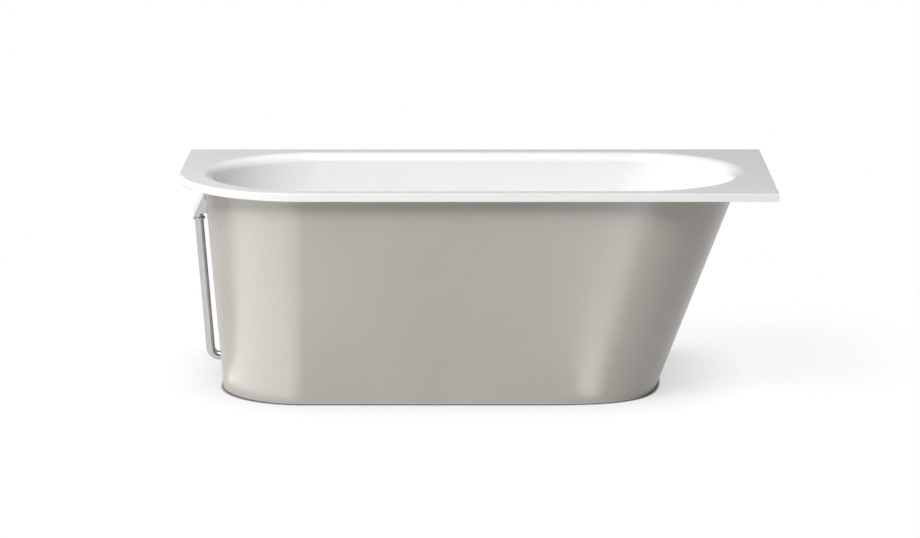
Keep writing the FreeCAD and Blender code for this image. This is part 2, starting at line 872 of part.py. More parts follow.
def overflow_rosette():
    plate = rod(rosette_radius, by_hood(0, 0), by_hood(rosette_thickness, 0))
    outer = min(plate.Faces, key=lambda face: face.CenterOfMass.x)
    plate = plate.makeFillet(rosette_thickness / 3, outer.Edges)
    return plate.cut(rod(overflow_sleeve_radius + thread_play, on_overflow(0), sleeve_end()))


def overflow_hood():
    half = hood_width / 2
    reach = pipe_standoff_top + pipe_radius
    side = [by_hood(rosette_thickness, hood_top, -half),
            by_hood(reach, -hood_shoulder, -half),
            by_hood(reach, -hood_base, -half),
            by_hood(rosette_thickness, -hood_base, -half)]
    body = Part.Face(Part.makePolygon(side + side[:1])).extrude(at(0, hood_width, 0))
    ridges = [edge for edge in body.Edges if edge_joins(edge, side[0], side[1])]
    body = body.makeChamfer(hood_chamfer, ridges)
    elbow = pipe_top - pipe_down * (hood_leg - hood_base)
    body = body.fuse(rod(pipe_radius, elbow - pipe_down * (hood_base - hood_shoulder) / 2, pipe_top))
    socket = rod(overflow_sleeve_radius + thread_play, on_overflow(overflow_to_skirt()), sleeve_end())
    return body.cut([socket, rod(hood_bore, overflow_outside, elbow), rod(hood_bore, elbow, pipe_top)])


def edge_joins(edge, first, second):
    """Whether an edge runs between two points, wherever it lies across the bath."""
    ends = [at(vertex.X, first.y, vertex.Z) for vertex in edge.Vertexes]
    span = sorted([ends[0].sub(first).Length, ends[0].sub(second).Length])
    other = sorted([ends[1].sub(first).Length, ends[1].sub(second).Length])
    length = first.sub(second).Length
    return span[0] + other[0] < press_play and abs(edge.Length - length) < press_play


# Overflow pipe: upright tube, bend and level leg through the skirt
def pipe_path():
    along = pipe_end.sub(pipe_corner).normalize()
    half_turn = pipe_down.getAngle(along) / 2
    tangent_length = pipe_bend * math.tan(half_turn)
    bend_start = pipe_corner - pipe_down * tangent_length
    bend_end = pipe_corner + along * tangent_length
    inward = (along - pipe_down).normalize()
    middle = pipe_corner + inward * (pipe_bend / math.cos(half_turn) - pipe_bend)
    edges = [Part.LineSegment(pipe_top, bend_start), Part.Arc(bend_start, middle, bend_end),
             Part.LineSegment(bend_end, pipe_end)]
    return Part.Wire([edge.toShape() for edge in edges])


def swept(radius):
    path = pipe_path()
    start = Part.Wire([Part.Circle(pipe_top, pipe_down, radius).toShape()])
    return path.makePipeShell([start], True, False)


def overflow_pipe():
    return swept(pipe_radius).cut(swept(pipe_radius - pipe_wall))


def overflow_collar():
    top = pipe_top - pipe_down * (collar_height / 2)
    bottom = top + pipe_down * collar_height
    bead = rod(collar_radius, top, bottom)
    rims = [edge for edge in bead.Edges if abs(edge.Length - 2 * math.pi * collar_radius) < press_play]
    bead = bead.makeFillet(collar_round, rims)
    return bead.cut(rod(pipe_radius + press_play, top, bottom))


# Link from the pipe to the trap
def link_pipe():
    end = at(drain_x - trap_radius - port_length + port_insert, basin_y, pipe_floor_height)
    return ring(pipe_radius, pipe_radius - pipe_wall, pipe_end, end)


def link_coupling():
    half = at(coupling_length / 2, 0, 0)
    return ring(pipe_radius + coupling_wall, pipe_radius + press_play, pipe_end - half, pipe_end + half)


def link_nut():
    return port_cap(port_outer, pipe_radius + thread_play, pipe_floor_height, at(-1, 0, 0))


pieces = {
    "tub_shell": tub_shell(),
    "skirt_panel": skirt_panel(),
    "skirt_seal": skirt_seal(),
    "rim_clips": rim_clips(),
    "clip_screws": screw_group(clip_screw_places()),
    "wall_bracket_back_left": wall_bracket(-bracket_spread / 2),
    "wall_bracket_back_right": wall_bracket(bracket_spread / 2),
    "wall_bracket_end": end_bracket(),
    "bracket_screws": screw_group(bracket_screw_places()),
    "base_board": base_board(),
    "rail_screws": screw_group([place for x in rail_places.values() for place in rail_screw_places(x)]),
    "stay_screws": screw_group(stay_screw_places()),
    "weld_nuts": weld_nuts(),
    "lock_nuts": lock_nuts(),
    "drain_gasket_top": drain_gasket_top(),
    "drain_flange": drain_flange(),
    "drain_gasket_bottom": drain_gasket_bottom(),
    "waste_body": waste_body(),
    "click_cartridge": click_cartridge(),
    "plug_cap": plug_cap(),
    "plug_sleeve": plug_sleeve(),
    "plug_seal": plug_seal(),
    "trap_cup": trap_cup(),
    "trap_lid_seal": trap_lid_seal(),
    "trap_lid": trap_lid(),
    "trap_inlet_seal": trap_inlet_seal(),
    "trap_nut": trap_nut(),
    "outlet_pipe": outlet_pipe(),
    "outlet_nut": outlet_nut(),
    "overflow_seal": overflow_seal(),
    "overflow_cover": overflow_cover(),
    "overflow_sleeve": overflow_sleeve(),
    "overflow_nut": overflow_nut(),
    "overflow_rosette": overflow_rosette(),
    "overflow_hood": overflow_hood(),
    "overflow_collar": overflow_collar(),
    "overflow_pipe": overflow_pipe(),
    "pipe_grommet": pipe_grommet(),
    "link_coupling": link_coupling(),
    "link_pipe": link_pipe(),
    "link_nut": link_nut(),
}
for side, x in rail_places.items():
    pieces["cross_rail_" + side] = cross_rail(x)
    pieces["skirt_stay_" + side] = skirt_stay(x)
    for row, y in foot_places.items():
        pieces["foot_pad_" + row + "_" + side] = foot_pad(x, y)
        pieces["foot_spindle_" + row + "_" + side] = foot_spindle(x, y)

os.makedirs("parts", exist_ok=True)
for name, shape in pieces.items():
    shape.exportStep("parts/" + name + ".step")
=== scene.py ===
import math

import bmesh
import bpy
from mathutils import Matrix, Vector


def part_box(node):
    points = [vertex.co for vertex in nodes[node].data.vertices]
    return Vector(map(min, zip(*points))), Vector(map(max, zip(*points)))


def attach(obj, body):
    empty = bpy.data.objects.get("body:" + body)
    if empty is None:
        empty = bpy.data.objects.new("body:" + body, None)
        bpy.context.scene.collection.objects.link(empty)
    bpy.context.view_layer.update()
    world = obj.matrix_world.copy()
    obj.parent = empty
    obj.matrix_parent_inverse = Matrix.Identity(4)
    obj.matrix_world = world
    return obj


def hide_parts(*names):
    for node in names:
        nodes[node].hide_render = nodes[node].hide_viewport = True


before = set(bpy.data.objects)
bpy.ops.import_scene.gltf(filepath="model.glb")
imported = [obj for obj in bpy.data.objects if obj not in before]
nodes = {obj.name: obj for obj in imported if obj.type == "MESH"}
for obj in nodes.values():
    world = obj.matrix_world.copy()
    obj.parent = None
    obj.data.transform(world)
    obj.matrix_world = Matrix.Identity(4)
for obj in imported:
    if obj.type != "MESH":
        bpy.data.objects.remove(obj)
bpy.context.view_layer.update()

# Tub shell: rim slab and basin drawn as one piece in white acrylic, polished inside and on the rim.
# The back of the basin and the rim's underside are stiffened with chopped glass strand rolled on in resin.
GLAZE_DEEP = (0.845, 0.845, 0.838)
GLAZE_PALE = (0.87, 0.87, 0.865)
GLAZE_ROUGHNESS = (0.17, 0.23)
GLAZE_RIPPLE = 0.012
MAT_ROUGHNESS = (0.62, 0.42)
MAT_DEPTH = 0.0012
MAT_STRENGTH = 0.8
RESIN = (0.50, 0.47, 0.38)
GLASS_STRAND = (0.74, 0.73, 0.67)
STRAND_LENGTH = 0.05
STRAND_WIDTH = 0.0022
STRAND_LAYS = ((0.3, 0.2, 0.5), (1.1, -0.7, 2.0), (-0.6, 1.0, -0.9), (0.9, 0.5, 1.3))
ABOVE_BASIN = (-0.05, -0.005, 0.95)
RIM_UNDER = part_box("skirt_seal")[1].z
HAIR = 0.0004


def set_socket(tree, socket, value):
    """Links another node's socket to this one, or sets a plain value on it."""
    if isinstance(value, bpy.types.NodeSocket):
        tree.links.new(value, socket)
    elif socket.type == "RGBA":
        socket.default_value = (*value, 1.0)
    else:
        socket.default_value = value


def put(tree, kind, inputs=None, **settings):
    """One shader node with its settings and inputs."""
    node = tree.nodes.new("ShaderNode" + kind)
    for key, value in settings.items():
        setattr(node, key, value)
    for key, value in (inputs or {}).items():
        set_socket(tree, node.inputs[key], value)
    return node


def new_finish(name):
    """Empty finish; gives it with its node tree and the place on the piece that its patterns follow."""
    finish = bpy.data.materials.new(name)
    finish.use_nodes = True
    tree = finish.node_tree
    return finish, tree, put(tree, "TexCoord").outputs["Object"]


def feed(tree, sources):
    """Gives the finish's shader its colour, roughness and the rest."""
    shader = tree.nodes["Principled BSDF"]
    for key, value in sources.items():
        set_socket(tree, shader.inputs[key], value)


def cloud(tree, place, scale, detail=3.0):
    """Soft noise. Its scale counts the spots to a metre."""
    return put(tree, "TexNoise", {"Vector": place, "Scale": scale, "Detail": detail}).outputs[0]


def spread(tree, value, low, high, start=0.3, end=0.7):
    """Value moved from one range to another."""
    inputs = {"Value": value, "From Min": start, "From Max": end, "To Min": low, "To Max": high}
    return put(tree, "MapRange", inputs).outputs[0]


def tint(tree, share, first, second):
    """Colour that goes from the first to the second as the share goes from 0 to 1."""
    return put(tree, "Mix", {0: share, 6: first, 7: second}, data_type="RGBA").outputs[2]


def between(tree, share, first, second):
    """Number that goes from the first to the second as the share goes from 0 to 1."""
    return put(tree, "Mix", {0: share, 2: first, 3: second}).outputs[0]


def sum_up(tree, how, first, second):
    """Two numbers joined by the sum named."""
    return put(tree, "Math", {0: first, 1: second}, operation=how).outputs[0]


def relief(tree, height, depth, strength):
    """Unevenness of the surface, with its depth in metres."""
    return put(tree, "Bump", {"Height": height, "Distance": depth, "Strength": strength}).outputs[0]


def turned_away(tree, place, point):
    """1 on faces turned away from a point, 0 on faces turned towards it."""
    towards = put(tree, "VectorMath", {0: point, 1: place}, operation="SUBTRACT").outputs[0]
    facing = put(tree, "TexCoord").outputs["Normal"]
    turn = put(tree, "VectorMath", {0: towards, 1: facing}, operation="DOT_PRODUCT").outputs["Value"]
    return sum_up(tree, "LESS_THAN", turn, 0.0)


def glass_mat(tree, place):
    """Colour and height of chopped glass strand lying every way in resin."""
    height = None
    for lay in STRAND_LAYS:
        size = (STRAND_LENGTH, STRAND_WIDTH, STRAND_WIDTH)
        inputs = {"Vector": place, "Rotation": lay, "Scale": size}
        laid = put(tree, "Mapping", inputs, vector_type="TEXTURE").outputs[0]
        strand = spread(tree, cloud(tree, laid, 1.0, 1.0), 0.0, 1.0, 0.5, 0.66)
        height = strand if height is None else sum_up(tree, "MAXIMUM", height, strand)
    wash = spread(tree, cloud(tree, place, 7.0), 0.55, 1.0)
    return tint(tree, sum_up(tree, "MULTIPLY", height, wash), RESIN, GLASS_STRAND), height


def wear(finish, *pieces):
    """Puts one finish all over each piece."""
    for piece in pieces:
        piece.data.materials.clear()
        piece.data.materials.append(finish)


white_glaze, tree, place = new_finish("white_glaze")
height_on_tub = put(tree, "SeparateXYZ", {0: place}).outputs["Z"]
below_rim = sum_up(tree, "LESS_THAN", height_on_tub, RIM_UNDER + HAIR)
on_back = sum_up(tree, "MULTIPLY", turned_away(tree, place, ABOVE_BASIN), below_rim)
mat_colour, mat_height = glass_mat(tree, place)
polish = cloud(tree, place, 55.0)
glaze = tint(tree, spread(tree, cloud(tree, place, 3.5), 0.0, 1.0), GLAZE_DEEP, GLAZE_PALE)
glaze_roughness = spread(tree, polish, *GLAZE_ROUGHNESS)
mat_roughness = spread(tree, mat_height, *MAT_ROUGHNESS)
ripple = spread(tree, cloud(tree, place, 160.0, 1.0), 0.0, GLAZE_RIPPLE)
feed(tree, {
    "Base Color": tint(tree, on_back, glaze, mat_colour),
    "Roughness": between(tree, on_back, glaze_roughness, mat_roughness),
    "Normal": relief(tree, between(tree, on_back, ripple, mat_height), MAT_DEPTH, MAT_STRENGTH),
})
wear(white_glaze, nodes["tub_shell"])

# Base board: raw particle board, sawn to the basin's floor and laminated under it.
# It carries the screws of the cross rails.
CHIP_DARK = (0.24, 0.145, 0.07)
CHIP_BROWN = (0.50, 0.355, 0.20)
CHIP_PALE = (0.70, 0.565, 0.375)
CHIPS_PER_METRE = 210.0
CHIP_STRETCH = (0.55, 1.0, 1.6)
CHIP_TURN = (0.0, 0.0, 0.35)

particle_board, tree, place = new_finish("particle_board")
chip_layout = {"Vector": place, "Scale": CHIP_STRETCH, "Rotation": CHIP_TURN}
drawn_out = put(tree, "Mapping", chip_layout).outputs[0]
chips = put(tree, "TexVoronoi", {"Vector": drawn_out, "Scale": CHIPS_PER_METRE, "Randomness": 1.0})
chip_draw = put(tree, "SeparateColor", {0: chips.outputs["Color"]}).outputs
dust = cloud(tree, place, 900.0)
brown = tint(tree, chip_draw[0], CHIP_BROWN, CHIP_PALE)
chip_colour = tint(tree, spread(tree, chip_draw[1], 0.0, 0.8, 0.72, 0.95), brown, CHIP_DARK)
feed(tree, {
    "Base Color": tint(tree, spread(tree, dust, 0.0, 0.35), chip_colour, CHIP_PALE),
    "Roughness": spread(tree, dust, 0.7, 0.9),
    "Normal": relief(tree, sum_up(tree, "ADD", chips.outputs["Distance"], dust), 0.0006, 0.6),
})
wear(particle_board, nodes["base_board"])

# Cross rails: channels pressed from zinc-plated sheet, screwed up into the base board with pan-head screws.
# Each rail has four screws in a row along its web.
ZINC_BLUE = (0.56, 0.585, 0.63)
ZINC_YELLOW = (0.66, 0.645, 0.575)
ROLLED_LENGTH = 0.16
ROLLED_WIDTH = 0.0016
RAIL_SCREWS = 4
RAIL_SCREW_PITCH = 0.070
SCREW_HEAD = 0.005
SCREW_HEAD_HEIGHT = 0.003
SCREW_CREST = 0.0025
SCREW_ROOT = 0.0019
SCREW_PITCH = 0.0011
SCREW_TIP = 0.0014
RECESS_ARM = 0.0025
RECESS_DEPTH = 0.0015
RECESS_CORNER = 15.0
# Turns of the points round a quarter of a screw head, with the corners of its cross recess among them
HEAD_TURNS = (0.0, 7.5, 15.0, 30.0, 45.0, 60.0, 75.0, 82.5)
HEAD_STEPS = 4 * len(HEAD_TURNS)
# Pan head from its face to its seat, as shares of its radius and its height
PAN_HEAD = ((0.68, 0.05), (0.84, 0.2), (0.95, 0.46), (1.0, 0.75), (1.0, 1.0))
# Thread from one groove to the next, as shares of its pitch and its depth
THREAD_SHAPE = ((0.0, 0.0), (0.42, 1.0), (0.58, 1.0))
SMOOTH_UP_TO = 38.0


def loop(radius, height, steps):
    """Ring of points round the upright axis. Radius and height are numbers, or functions of the turn."""
    points = []
    for step in range(steps):
        turn = 2 * math.pi * step / steps
        reach = radius(turn) if callable(radius) else radius
        level = height(turn) if callable(height) else height
        points.append((reach * math.cos(turn), reach * math.sin(turn), level))
    return points


def skin(loops, first_end=True, last_end=True, ring=False):
    """Points and faces over a row of loops, closed at its ends or joined to a ring."""
    count = len(loops[0])
    points = [point for each in loops for point in each]
    faces = []
    for row in range(len(loops) if ring else len(loops) - 1):
        here = row * count
        there = (row + 1) % len(loops) * count
        for step in range(count):
            ahead = (step + 1) % count
            faces.append((here + step, here + ahead, there + ahead, there + step))
    if first_end and not ring:
        faces.append(tuple(range(count)))
    if last_end and not ring:
        faces.append(tuple(range(len(points) - count, len(points))))
    return points, faces


def gather(shapes):
    """Points and faces of several shapes together."""
    points = []
    faces = []
    for shape_points, shape_faces in shapes:
        start = len(points)
        points += shape_points
        faces += [tuple(start + corner for corner in face) for face in shape_faces]
    return points, faces


def moved(shape, where):
    """Shape set up on the upright axis, put to a place or through a matrix."""
    matrix = where if isinstance(where, Matrix) else Matrix.Translation(where)
    return [tuple(matrix @ Vector(point)) for point in shape[0]], shape[1]


def new_piece(name, shape, crease=SMOOTH_UP_TO):
    """Piece from points and faces, shaded smooth where its faces meet at less than the crease angle."""
    mesh = bpy.data.meshes.new(name)
    mesh.from_pydata(shape[0], [], shape[1])
    work = bmesh.new()
    work.from_mesh(mesh)
    bmesh.ops.remove_doubles(work, verts=work.verts, dist=1e-6)
    bmesh.ops.recalc_face_normals(work, faces=work.faces)
    work.to_mesh(mesh)
    work.free()
    mesh.shade_smooth()
    mesh.set_sharp_from_angle(angle=math.radians(crease))
    piece = bpy.data.objects.new(name, mesh)
    bpy.context.scene.collection.objects.link(piece)
    return piece


def stands_for(piece, node, body, finish):
    """Hands a piece over in place of a node, on its body and in its finish."""
    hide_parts(node)
    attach(piece, body)
    wear(finish, piece)


def threaded(root, crest, pitch, below, above):
    """Thread on the upright axis between two rows of loops, listed upwards, that it runs out to."""
    steps = len(below[-1])
    start = below[-1][0][2] + pitch / 4
    room = above[0][0][2] - pitch / 4 - start
    turns = int(room / pitch - THREAD_SHAPE[-1][0])
    last = turns * steps
    points = []
    for step in range(last + 1):
        run_out = min(1.0, step / steps, (last - step) / steps)
        turn = 2 * math.pi * step / steps
        for rise, depth in THREAD_SHAPE:
            radius = root + (crest - root) * depth * run_out
            height = start + pitch * (step / steps + rise)
            points.append((radius * math.cos(turn), radius * math.sin(turn), height))

    def groove(step):
        return len(THREAD_SHAPE) * step

    faces = []
    for step in range(last):
        here = groove(step)
        ahead = groove(step + 1)
        faces.append((here, ahead, ahead + 1, here + 1))
        faces.append((here + 1, ahead + 1, ahead + 2, here + 2))
        if step < last - steps:
            faces.append((here + 2, ahead + 2, groove(step + 1 + steps), groove(step + steps)))
    under = len(points)
    points += below[-1]
    for step in range(steps - 1):
        faces.append((under + step, under + step + 1, groove(step + 1), groove(step)))
    faces.append((under + steps - 1, under, 0, 1, 2, groove(steps), groove(steps - 1)))
    over = len(points)
    points += above[0]
    first = groove(last - steps) + 2
    second = groove(last - steps + 1) + 2
    end = groove(last)
    faces.append((first, second, over + 1, over, end + 2, end + 1, end))
    for step in range(1, steps):
        here = groove(last - steps + step) + 2
        ahead = groove(last - steps + step + 1) + 2
        faces.append((here, ahead, over + (step + 1) % steps, over + step))
    return gather([(points, faces), skin(below, last_end=False), skin(above, first_end=False)])


def cross_loop(size, height):
    """Outline of a cross recess, with its arms along both axes."""
    points = []
    for quarter in range(4):
        for offset in HEAD_TURNS:
            off_arm = min(offset, 90.0 - offset)
            reach = RECESS_ARM / math.cos(math.radians(off_arm))
            if off_arm > RECESS_CORNER:
                half_width = RECESS_ARM * math.tan(math.radians(RECESS_CORNER))
                reach = half_width / math.sin(math.radians(off_arm))
            turn = math.radians(90.0 * quarter + offset)
            points.append((size * reach * math.cos(turn), size * reach * math.sin(turn), height))
    return points


def pan_screw(length):
    """Screw driven upwards: cross-recessed pan head at the bottom, thread and tip above it."""
    head = [cross_loop(0.5, RECESS_DEPTH), cross_loop(1.0, 0.0)]
    head += [loop(SCREW_HEAD * out, SCREW_HEAD_HEIGHT * up, HEAD_STEPS) for out, up in PAN_HEAD]
    head.append(loop(SCREW_ROOT, SCREW_HEAD_HEIGHT, HEAD_STEPS))
    head.append(loop(SCREW_ROOT, SCREW_HEAD_HEIGHT + HAIR, HEAD_STEPS))
    tip = [loop(SCREW_ROOT, length - SCREW_TIP, HEAD_STEPS), loop(SCREW_ROOT / 5, length, HEAD_STEPS)]
    return threaded(SCREW_ROOT, SCREW_CREST, SCREW_PITCH, head, tip)


def pan_screws(name, node, spots):
    """The screws of one node, at their spots in plan."""
    low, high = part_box(node)
    screw = pan_screw(high.z - low.z)
    piece = new_piece(name, gather([moved(screw, (x, y, low.z)) for x, y in spots]))
    stands_for(piece, node, "tub", zinc_plate)


def middle(node):
    low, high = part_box(node)
    return (low + high) / 2


zinc_plate, tree, place = new_finish("zinc_plate")
rolled_size = (ROLLED_WIDTH, ROLLED_LENGTH, ROLLED_WIDTH)
rolled = put(tree, "Mapping", {"Vector": place, "Scale": rolled_size}, vector_type="TEXTURE").outputs[0]
streaks = cloud(tree, rolled, 1.0)
bloom = cloud(tree, place, 28.0, 5.0)
feed(tree, {
    "Base Color": tint(tree, spread(tree, bloom, 0.0, 1.0), ZINC_BLUE, ZINC_YELLOW),
    "Metallic": 1.0,
    "Roughness": spread(tree, sum_up(tree, "ADD", streaks, bloom), 0.26, 0.44, 0.7, 1.3),
    "Normal": relief(tree, streaks, 0.0003, 0.35),
})
rails = ("cross_rail_left", "cross_rail_right")
wear(zinc_plate, *[nodes[rail] for rail in rails])
rail_screw_spots = []
for rail in rails:
    for row in range(RAIL_SCREWS):
        shift = (row - (RAIL_SCREWS - 1) / 2) * RAIL_SCREW_PITCH
        rail_screw_spots.append((middle(rail).x, middle(rail).y + shift))
pan_screws("rail_pan_screws", "rail_screws", rail_screw_spots)

# Levelling feet: threaded steel spindles in nuts under the rails, standing in moulded rubber pads.
# The upper nut is welded under the rail, the lower one locks the spindle once the bath is level.
CORNERS = ("front_left", "front_right", "back_left", "back_right")
SPINDLE_CREST = 0.006
SPINDLE_ROOT = 0.00493
SPINDLE_PITCH = 0.00175
SPINDLE_STEPS = 32
ROD_END = 0.0011
NUT_FLATS = 0.019
NUT_BORE = 0.00605
NUT_STEPS = 48
NUT_FACE_SHARE = 0.95
NUT_FACE_SLOPE = math.tan(math.radians(30.0))
PAD_RIBS = 36
PAD_RIB_DEPTH = 0.0012
# Points round one rib: two on its crest, four in the groove beside it
RIB_SHAPE = (1.0, 1.0, 0.0, 0.0, 0.0, 0.0)
# Pad from the middle of its tread, over its side, to the floor of its socket: radius, height, ribbed or not
PAD_OUTLINE = (
    (0.0100, 0.0012, False), (0.0104, 0.0, False), (0.0152, 0.0, False), (0.0156, 0.0012, False),
    (0.0204, 0.0012, False), (0.0208, 0.0, False), (0.0262, 0.0, False), (0.0280, 0.0016, True),
    (0.0280, 0.0112, True), (0.0266, 0.0128, False), (0.0259, 0.0146, False), (0.0240, 0.0158, False),
    (0.0225, 0.0160, False), (0.0132, 0.0160, False), (0.0126, 0.0150, False), (0.0104, 0.0150, False),
    (0.0098, 0.0160, False), (0.00605, 0.0160, False), (0.00605, 0.0060, False),
)
SPINDLE_CREASE = 25.0
PAD_BLACK = (0.030, 0.030, 0.033)
PAD_DUSTY = (0.070, 0.068, 0.066)


def ribbed(radius, ribs, depth):
    """Radius as a function of the turn, with ribs standing out to it."""
    def at_turn(turn):
        step = round(turn / (2 * math.pi) * ribs * len(RIB_SHAPE))
        return radius - depth * (1.0 - RIB_SHAPE[step % len(RIB_SHAPE)])
    return at_turn


def hexagon(turn):
    """Distance to the side of a nut with a corner at turn zero."""
    off_flat = (turn % (math.pi / 3)) - math.pi / 6
    return NUT_FLATS / 2 / math.cos(off_flat)


def hexagon_nut(height):
    """Nut with its corners turned down at both faces."""
    face = NUT_FACE_SHARE * NUT_FLATS / 2

    def corner_drop(turn):
        return (hexagon(turn) - face) * NUT_FACE_SLOPE

    return skin([
        loop(NUT_BORE, 0.0, NUT_STEPS),
        loop(face, 0.0, NUT_STEPS),
        loop(hexagon, corner_drop, NUT_STEPS),
        loop(hexagon, lambda turn: height - corner_drop(turn), NUT_STEPS),
        loop(face, height, NUT_STEPS),
        loop(NUT_BORE, height, NUT_STEPS),
    ], ring=True)


pad_rubber, tree, place = new_finish("pad_rubber")
grain = cloud(tree, place, 1400.0)
scuff = cloud(tree, place, 70.0, 6.0)
feed(tree, {
    "Base Color": tint(tree, spread(tree, scuff, 0.0, 1.0, 0.45, 0.75), PAD_BLACK, PAD_DUSTY),
    "Roughness": spread(tree, scuff, 0.6, 0.8),
    "Normal": relief(tree, grain, 0.0003, 0.5),
})
pad_steps = PAD_RIBS * len(RIB_SHAPE)
pad_loops = []
for radius, height, has_ribs in PAD_OUTLINE:
    side = ribbed(radius, PAD_RIBS, PAD_RIB_DEPTH) if has_ribs else radius
    pad_loops.append(loop(side, height, pad_steps))
for corner in CORNERS:
    pad_node = "foot_pad_" + corner
    spindle_node = "foot_spindle_" + corner
    body = "foot_" + corner
    foot = middle(pad_node)
    pad_shape = moved(skin(pad_loops), (foot.x, foot.y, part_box(pad_node)[0].z))
    pad = new_piece("ribbed_pad_" + corner, pad_shape)
    stands_for(pad, pad_node, body, pad_rubber)
    low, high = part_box(spindle_node)
    length = high.z - low.z
    lower_end = [loop(SPINDLE_ROOT - ROD_END, 0.0, SPINDLE_STEPS),
                 loop(SPINDLE_ROOT, ROD_END, SPINDLE_STEPS)]
    upper_end = [loop(SPINDLE_ROOT, length - ROD_END, SPINDLE_STEPS),
                 loop(SPINDLE_ROOT - ROD_END, length, SPINDLE_STEPS)]
    rod = threaded(SPINDLE_ROOT, SPINDLE_CREST, SPINDLE_PITCH, lower_end, upper_end)
    rod_in_place = moved(rod, (foot.x, foot.y, low.z))
    spindle = new_piece("threaded_spindle_" + corner, rod_in_place, SPINDLE_CREASE)
    stands_for(spindle, spindle_node, body, zinc_plate)
for node in ("weld_nuts", "lock_nuts"):
    low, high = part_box(node)
    shape = hexagon_nut(high.z - low.z)
    nuts = []
    for corner in CORNERS:
        foot = middle("foot_pad_" + corner)
        nuts.append(moved(shape, (foot.x, foot.y, low.z)))
    stands_for(new_piece("hexagon_" + node, gather(nuts)), node, "tub", zinc_plate)

# Wall brackets: zinc-plated angles that carry the back and the right end of the rim on the walls.
# One pan-head screw goes up through each ledge into the rim.
brackets = ("wall_bracket_back_left", "wall_bracket_back_right", "wall_bracket_end")
wear(zinc_plate, *[nodes[bracket] for bracket in brackets])
pan_screws("bracket_pan_screws", "bracket_screws", [middle(bracket).xy for bracket in brackets])

# Drain: chromed flange screwed down into a moulded waste body under the floor, a gasket on either side.
# The flange's spider holds the brass cartridge of the click plug.
CHROME_BRIGHT = (0.56, 0.565, 0.57)
CHROME_DULL = (0.52, 0.525, 0.53)
BRASS_BRIGHT = (0.74, 0.58, 0.30)
BRASS_DULL = (0.46, 0.34, 0.16)
SEAL_BLACK = (0.022, 0.022, 0.024)
SEAL_GREY = (0.050, 0.050, 0.052)
MOULDED_WHITE = (0.80, 0.80, 0.775)
MOULDED_CREAM = (0.74, 0.735, 0.69)

chrome, tree, place = new_finish("chrome")
smear = cloud(tree, place, 45.0, 5.0)
feed(tree, {
    "Base Color": tint(tree, spread(tree, smear, 0.0, 1.0), CHROME_BRIGHT, CHROME_DULL),
    "Metallic": 1.0,
    "Roughness": spread(tree, smear, 0.035, 0.085),
    "Normal": relief(tree, cloud(tree, place, 600.0), 0.00004, 0.25),
})

turned_brass, tree, place = new_finish("turned_brass")
tarnish = cloud(tree, place, 90.0, 5.0)
feed(tree, {
    "Base Color": tint(tree, spread(tree, tarnish, 0.0, 1.0), BRASS_BRIGHT, BRASS_DULL),
    "Metallic": 1.0,
    "Roughness": spread(tree, tarnish, 0.22, 0.42),
    "Normal": relief(tree, cloud(tree, place, 1500.0), 0.0001, 0.3),
})

seal_rubber, tree, place = new_finish("seal_rubber")
bloom = cloud(tree, place, 120.0, 4.0)
feed(tree, {
    "Base Color": tint(tree, spread(tree, bloom, 0.0, 1.0), SEAL_BLACK, SEAL_GREY),
    "Roughness": spread(tree, bloom, 0.55, 0.75),
    "Normal": relief(tree, cloud(tree, place, 1800.0), 0.0002, 0.4),
})

moulded_white, tree, place = new_finish("moulded_white")
flow = cloud(tree, place, 22.0, 4.0)
mould_grain = cloud(tree, place, 1300.0, 2.0)
feed(tree, {
    "Base Color": tint(tree, spread(tree, flow, 0.0, 1.0), MOULDED_WHITE, MOULDED_CREAM),
    "Roughness": spread(tree, flow, 0.36, 0.5),
    "Normal": relief(tree, mould_grain, 0.0002, 0.3),
})
wear(seal_rubber, nodes["drain_gasket_top"], nodes["drain_gasket_bottom"])
wear(chrome, nodes["drain_flange"])
wear(moulded_white, nodes["waste_body"])
wear(turned_brass, nodes["click_cartridge"])

# Click plug: chromed domed cap on a brass sleeve that slides on the cartridge, a lip seal under the cap.
# A push lifts it clear of the flange.
wear(chrome, nodes["plug_cap"])
wear(turned_brass, nodes["plug_sleeve"])
wear(seal_rubber, nodes["plug_seal"])

# Trap: moulded cup and lid, joined by a seal, hung on the waste body by a ribbed nut.
# The outlet pipe leaves it towards the wall, held by a nut of its own.
NUT_RIBS = 28
NUT_RIB_DEPTH = 0.0014
NUT_CHAMFER = 0.0014
CAP_THICKNESS = 0.004
TRAP_NUT_WALL = 0.005
TRAP_NUT_BORE = 0.0253
PORT_NUT_WALL = 0.004
OUTLET_NUT_BORE = 0.0218


def cap_nut(outer, wall, bore, length):
    """Ribbed nut: a skirt with grip ribs from height zero, closed at its far end round the pipe."""
    steps = NUT_RIBS * len(RIB_SHAPE)
    ribs = ribbed(outer, NUT_RIBS, NUT_RIB_DEPTH)
    valley = outer - NUT_RIB_DEPTH
    return skin([
        loop(outer - wall, 0.0, steps),
        loop(valley - NUT_CHAMFER / 2, 0.0, steps),
        loop(ribs, NUT_CHAMFER, steps),
        loop(ribs, length - NUT_CHAMFER, steps),
        loop(valley - NUT_CHAMFER, length, steps),
        loop(bore, length, steps),
        loop(bore, length - CAP_THICKNESS, steps),
        loop(outer - wall, length - CAP_THICKNESS, steps),
    ], ring=True)


